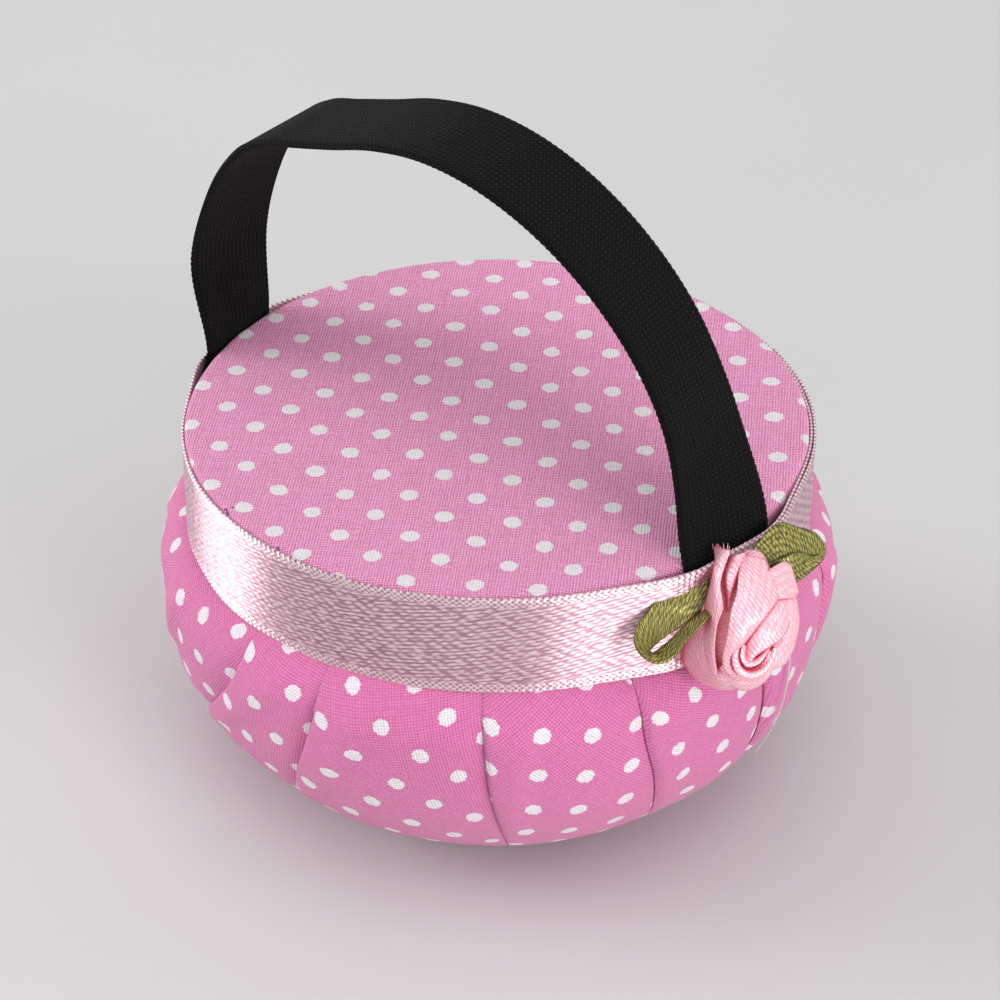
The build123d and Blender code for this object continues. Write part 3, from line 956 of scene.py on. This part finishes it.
# Petals of the folded ribbon: (crown, stations).
# A station is x, y and height over the swell of one edge, then of the other.
PETALS = {
    "outer_left": (0.45, (
        (-3.1, 8.0, 2.6, -1.3, 7.6, 2.4), (-3.0, 6.4, 1.8, -1.9, 6.1, 2.0),
        (-3.4, 4.3, 0.9, -2.5, 4.0, 1.6), (-4.0, 1.9, 0.4, -2.3, 1.4, 1.5),
        (-4.3, -0.5, 0.2, -2.9, -0.6, 1.4), (-4.2, -3.0, 0.2, -3.1, -3.0, 1.2),
        (-3.7, -5.3, 0.2, -2.8, -5.4, 0.9), (-3.1, -6.3, 0.1, -2.6, -6.3, 0.4),
    )),
    "tip_fold": (0.8, (
        (-1.4, 6.9, 1.2, 0.5, 7.4, 0.9), (-1.9, 5.3, 1.0, -0.3, 5.5, 0.8),
        (-2.0, 4.0, 0.7, -0.8, 4.2, 0.6), (-1.9, 2.7, 0.2, -1.3, 2.9, 0.3),
        (-1.8, 1.2, -0.4, -1.6, 1.2, -0.4),
    )),
    "main": (0.7, (
        (-0.2, 7.2, 0.9, 2.6, 6.6, 0.2), (-0.5, 5.2, 1.2, 3.4, 4.6, 0.6),
        (-0.8, 3.0, 1.5, 3.9, 2.6, 0.8), (-1.4, 1.2, 1.7, 2.9, 1.2, 1.0),
        (-1.7, -0.4, 1.8, 1.6, -0.4, 0.9), (-2.0, -2.2, 1.7, 0.3, -2.2, 0.6),
        (-2.3, -4.0, 1.5, -0.9, -4.0, 0.4), (-1.9, -5.6, 1.3, -0.8, -5.2, 0.4),
        (-0.4, -6.7, 1.0, 0.2, -5.4, 0.6), (1.3, -6.6, 1.0, 1.0, -5.3, 0.5),
        (2.5, -5.6, 0.9, 1.7, -4.8, 0.3), (3.2, -4.3, 0.7, 2.1, -4.1, 0.1),
        (3.2, -3.2, 0.3, 2.2, -3.4, -0.3),
    )),
    "second": (0.6, (
        (3.5, 2.9, 0.1, 5.5, 2.9, 0.3), (2.9, 1.4, 0.2, 5.5, 0.9, 0.5),
        (1.8, 0.0, 0.2, 5.0, -0.9, 0.7), (0.9, -1.6, 0.2, 4.3, -1.9, 0.8),
        (0.1, -3.0, 0.2, 2.9, -2.8, 0.8), (-0.3, -4.3, 0.1, 1.4, -3.8, 0.7),
        (0.0, -5.2, 0.1, 1.0, -4.4, 0.6), (0.9, -5.3, 0.0, 1.3, -4.5, 0.3),
    )),
    "swirl_outer": (0.5, (
        (-0.9, -2.6, 1.0, -0.4, -2.5, 0.7), (-1.3, -4.2, 1.3, -0.6, -4.0, 0.9),
        (-0.8, -5.7, 1.5, -0.2, -5.1, 1.0), (0.6, -6.4, 1.6, 0.7, -5.6, 1.0),
        (2.2, -5.8, 1.5, 1.8, -5.2, 0.9), (3.2, -4.4, 1.2, 2.6, -4.2, 0.6),
        (3.7, -2.9, 0.8, 3.1, -3.0, 0.2),
    )),
    "swirl_inner": (0.45, (
        (-0.2, -2.6, 0.8, 0.2, -2.7, 0.4), (-0.4, -4.0, 1.1, 0.2, -3.9, 0.6),
        (0.3, -5.0, 1.3, 0.6, -4.4, 0.8), (1.5, -4.8, 1.3, 1.3, -4.2, 0.7),
        (2.4, -3.8, 1.0, 2.0, -3.5, 0.4), (3.0, -2.8, 0.5, 2.6, -2.6, 0.0),
    )),
    "third": (0.5, (
        (4.6, -1.2, -0.2, 6.1, -2.3, -0.2), (3.6, -2.3, -0.1, 5.8, -3.3, 0.2),
        (2.5, -3.2, 0.0, 4.8, -4.9, 0.3), (1.8, -4.0, 0.0, 3.4, -5.4, 0.4),
        (1.5, -4.7, 0.0, 2.2, -5.5, 0.2),
    )),
    "flap": (0.15, (
        (2.2, 5.0, 0.3, 3.0, 2.2, 0.5), (3.3, 5.7, 0.8, 4.5, 2.3, 1.0),
        (4.7, 6.3, 1.1, 5.8, 2.4, 1.2), (5.5, 6.0, 1.0, 6.35, 3.0, 0.9),
    )),
    "right_edge": (0.7, (
        (4.6, 3.0, 0.3, 6.0, 2.8, 0.2), (4.7, 1.2, 0.3, 6.4, 0.8, 0.0),
        (4.6, -0.4, 0.2, 6.45, -0.8, -0.2), (4.3, -1.8, 0.0, 6.0, -2.6, -0.4),
        (4.0, -3.4, -0.3, 5.0, -4.7, -0.5),
    )),
    "lower_left": (0.8, (
        (-4.4, -0.4, -0.8, -3.0, -0.2, 0.0), (-6.0, -2.6, -0.9, -3.4, -2.4, 0.2),
        (-6.3, -4.5, -0.8, -3.4, -4.0, 0.3), (-5.4, -6.3, -0.6, -2.8, -5.2, 0.3),
        (-3.6, -7.5, -0.5, -2.2, -5.8, 0.4), (-1.8, -7.9, -0.5, -1.2, -6.2, 0.4),
        (-0.2, -7.6, -0.6, -0.2, -6.4, 0.2),
    )),
    "rim": (0.35, (
        (-2.6, -5.2, 0.3, -1.9, -4.7, 0.6), (-1.6, -7.0, 0.5, -1.1, -6.1, 0.9),
        (0.3, -7.8, 0.6, 0.3, -6.7, 1.0), (2.1, -7.1, 0.6, 1.6, -6.2, 0.9),
        (3.2, -5.7, 0.5, 2.4, -5.2, 0.8), (3.7, -4.0, 0.1, 3.0, -4.0, 0.5),
    )),
    "top_fold": (0.3, (
        (0.3, 7.6, 0.1, 0.3, 6.4, 0.5), (1.5, 7.6, 0.1, 1.5, 5.8, 0.5),
        (2.4, 7.1, 0.0, 2.6, 5.0, 0.4), (3.1, 5.6, -0.1, 3.2, 4.6, 0.2),
    )),
}


def rose_core():
    """Rolled body of the bud, which shows deep between the petals; its darker coral satin is painted
    shade with the glow of light bounced between the petals.
    """
    sheet = Sheet("rose_core")
    rows = []
    around, rings = 56, 36
    for i in range(1, rings):
        rise = math.pi * i / rings
        row = []
        for j in range(around):
            turn = TAU * j / around
            fold = 1 + 0.05 * math.sin(3 * turn + 4 * rise) + 0.03 * math.sin(7 * turn - 3 * rise)
            x = 0.1 + 5.0 * math.sin(rise) * math.cos(turn) * fold
            y = -0.7 + 6.4 * math.cos(rise) + 0.3 * math.sin(turn)
            z = -2.9 + 3.4 * math.sin(rise) * math.sin(turn) * fold
            row.append(sheet.point(rose_point(x, y, z), (5.0 * turn, 6.4 * rise)))
        row.append(row[0])
        rows.append(row)
    sheet.grid(rows, flip=True)
    sheet.faces.append(tuple(rows[0][:-1]))
    sheet.faces.append(tuple(reversed(rows[-1][:-1])))
    sheet.build(ROSE_CORE_SHADE)


def rose_binding():
    """Thread bound round the gathered stem, behind the raw end."""
    turns, steps, pitch = 4, 96, 0.28
    points = []
    for i in range(steps + 1):
        turn = TAU * turns * i / steps
        rise = 5.4 + pitch * turns * i / steps
        points.append(rose_point(-1.4 + math.cos(turn), rise, -3.0 + math.sin(turn)))
    tube("rose_binding_thread", points, 0.13, THREAD, replaces=("rose_thread",))


def frayed_end(sheet):
    """Loose threads at the ribbon's raw end."""
    x0, y0, _, x1, y1, _ = PETALS["outer_left"][1][0]
    threads = 11
    for i in range(threads):
        part = i / (threads - 1)
        x, y = mixed(x0, x1, part), mixed(y0, y1, part)
        z = rose_swell(x, y) + 2.5
        lean, reach = random.uniform(-0.25, 0.25), random.uniform(0.2, 0.75)
        foot = [(x - 0.08, y - 0.3, z), (x + 0.08, y - 0.3, z)]
        tip = [(x + lean + 0.02, y + reach, z + lean), (x + lean - 0.02, y + reach, z + lean)]
        sheet.faces.append(tuple(sheet.point(rose_point(*p), (p[0], p[1])) for p in foot + tip))


def rose():
    sheet = Sheet("rose_petals")
    start = 0.0
    for crown, stations in PETALS.values():
        lifted = [
            (x, y, rose_swell(x, y) + up, over, high, rose_swell(over, high) + out)
            for x, y, up, over, high, out in stations
        ]
        strip(sheet, lifted, 8 * len(stations), crown, start)
        start += 20.0
    frayed_end(sheet)
    made = sheet.build(ROSE_SATIN, replaces=("rose",))
    thicken(made, ROSE_CLOTH)
    rose_core()
    rose_binding()


# Leaf loops, from the root to the tip and back: (CAD node, stations).
# A station is x, y and depth of one edge, then of the other.
LEAVES = {
    "leaf_loop_left": ("leaf_left", (
        (-3.4, 5.0, -2.3, -3.8, 1.4, -1.6), (-6.2, 4.75, -1.7, -6.2, -0.4, -0.9),
        (-8.4, 3.3, -0.9, -7.9, -1.5, -0.3), (-10.2, 1.3, -0.2, -9.2, -2.4, 0.2),
        (-11.6, -0.6, 0.7, -9.8, -2.9, 0.8), (-12.0, -2.3, 1.9, -10.2, -3.3, 1.2),
        (-11.1, -3.9, 2.8, -9.9, -3.6, 1.2), (-9.4, -4.65, 3.2, -9.0, -3.0, 1.0),
        (-7.6, -3.9, 2.9, -7.6, -1.8, 0.7), (-6.0, -1.9, 2.2, -6.2, -0.5, 0.3),
        (-4.2, -0.2, 1.2, -4.4, 0.8, -0.6), (-2.8, 1.0, 0.0, -3.0, 2.0, -1.8),
    )),
    "leaf_loop_right": ("leaf_right", (
        (1.0, 7.2, -3.2, 1.6, 5.0, -3.0), (2.6, 9.2, -4.2, 3.0, 5.4, -3.4),
        (4.4, 10.6, -5.3, 4.6, 6.2, -4.0), (6.6, 10.1, -6.6, 6.4, 6.7, -5.2),
        (8.6, 9.5, -7.8, 7.8, 6.9, -6.4), (9.75, 8.2, -8.4, 8.5, 6.6, -7.0),
        (9.8, 6.9, -8.0, 8.2, 6.7, -6.4), (8.6, 5.5, -7.2, 7.2, 7.2, -5.6),
        (6.3, 3.9, -5.8, 6.0, 7.2, -4.4), (4.6, 3.4, -4.6, 4.4, 6.6, -3.6),
        (2.8, 3.4, -3.4, 2.8, 6.0, -2.8),
    )),
}


def leaves():
    for name, (node, stations) in LEAVES.items():
        sheet = Sheet(name)
        strip(sheet, stations, 8 * len(stations), 0.15)
        thicken(sheet.build(LEAF_SATIN, replaces=(node,)), LEAF_CLOTH)


# ---- stray stitches and glue


STITCH_SLOPE = 0.12         # rise of a tacking end for each millimetre inwards
GLUE_TOP, GLUE_FOOT = 31.0, 14.0
GLUE_TURN, GLUE_DRIFT = 54.0, 2.8
GLUE_CLEAR, GLUE_SAG = 1.3, 0.4     # distance from the dome, at its ends and more at its middle


def on_round(azimuth, radius, height):
    """Point by its direction from the camera's side, its radius and its height."""
    return Vector((*polar(radius, math.radians(azimuth + FRONT)), height))


def stray_stitches():
    """Ends of the dark tacking thread that show over the left of the rim."""
    ends = (((-58.6, 0.9), (-55.6, 0.1)), ((-57.2, 0.2), (-56.6, 1.3)), ((-41.9, 0.5), (-41.2, 0.0)))
    for i, ((start, start_in), (end, end_in)) in enumerate(ends):
        points = []
        for j in range(7):
            part = j / 6
            inward = mixed(start_in, end_in, part)
            height = FACE_HEIGHT + STITCH_SLOPE * inward
            points.append(on_round(mixed(start, end, part), BASE_RADIUS - inward, height))
        tube(f"tacking_thread_end_{i}", points, 0.075, DARK_THREAD)


def glue_strand():
    """Fine drawn-out strand of glue from under the rose down the dome."""
    points = []
    for j in range(25):
        part = j / 24
        height = mixed(GLUE_TOP, GLUE_FOOT, part)
        bowl = max((WIDEST_HEIGHT - height) / WIDEST_HEIGHT, 0.0)
        reach = REST_RADIUS + (DOME_RADIUS - REST_RADIUS) * (1 - bowl ** BOWL_POWER) ** (1 / BOWL_POWER)
        clear = GLUE_CLEAR + GLUE_SAG * math.sin(math.pi * part)
        points.append(on_round(GLUE_TURN - GLUE_DRIFT * part, reach + clear, height))
    tube("glue_strand", points, 0.09, GLUE)


# ---- floor, lights, camera

# Sizes and distances here are metres
FLOOR_SIZE = 3.0
FLOOR_GREYS = (0.55, 0.55, 0.55, 1), (0.58, 0.58, 0.58, 1)
# Soft boxes: direction from the camera's side, height in degrees, edge length, watts
LIGHTS = {
    "overhead": (8, 72, 0.60, 1.9),
    "left_window": (-102, 12, 0.45, 5.2),
    "right_front": (38, 12, 0.45, 5.2),
}
LIGHT_DISTANCE = 0.9
AIM = Vector((0, 0, 0.035))
WORLD_STRENGTH = 0.77


def floor():
    mesh = bpy.data.meshes.new("studio_floor")
    half = FLOOR_SIZE / 2
    corners = [(-half, -half, 0), (half, -half, 0), (half, half, 0), (-half, half, 0)]
    mesh.from_pydata(corners, [], [(0, 1, 2, 3)])
    made = placed("studio_floor", mesh)
    g = Graph("studio_floor", Roughness=0.55, Specular_IOR_Level=0.3)
    tone = g.noise(g.position(), 6.0, 3.0)
    grey = g.blend(g.ramp(tone, 0.3, 0.7), *FLOOR_GREYS)
    mesh.materials.append(g.finish(grey))


def lights():
    """Soft boxes aimed at the cushion, and an even white room."""
    for name, (azimuth, elevation, edge, power) in LIGHTS.items():
        turn, rise = radians(azimuth + FRONT, elevation)
        away = Vector((*polar(math.cos(rise), turn), math.sin(rise)))
        light = bpy.data.lights.new(name, "AREA")
        light.size = edge
        light.energy = power
        made = placed(name, light)
        made.location = AIM + away * LIGHT_DISTANCE
        made.rotation_euler = away.to_track_quat("Z", "Y").to_euler()
    world = bpy.data.worlds.new("studio")
    world.use_nodes = True
    background = world.node_tree.nodes["Background"].inputs
    background["Color"].default_value = (1, 1, 1, 1)
    background["Strength"].default_value = WORLD_STRENGTH
    bpy.context.scene.world = world
    bpy.context.scene.view_settings.view_transform = "Standard"


def camera():
    data = bpy.data.cameras.new("camera")
    data.lens = CAMERA_LENS
    made = placed("camera", data)
    turn, rise = radians(CAMERA_AZIMUTH, CAMERA_ELEVATION)
    level = math.cos(rise)
    forward = Vector((-math.sin(turn) * level, math.cos(turn) * level, -math.sin(rise)))
    made.location = CAMERA_PLACE
    made.rotation_euler = forward.to_track_quat("-Z", "Y").to_euler()
    bpy.context.scene.camera = made


dome()
base_cover()
ribbon_band()
strap()
rose()
leaves()
stray_stitches()
glue_strand()
floor()
lights()
camera()
bpy.context.view_layer.update()
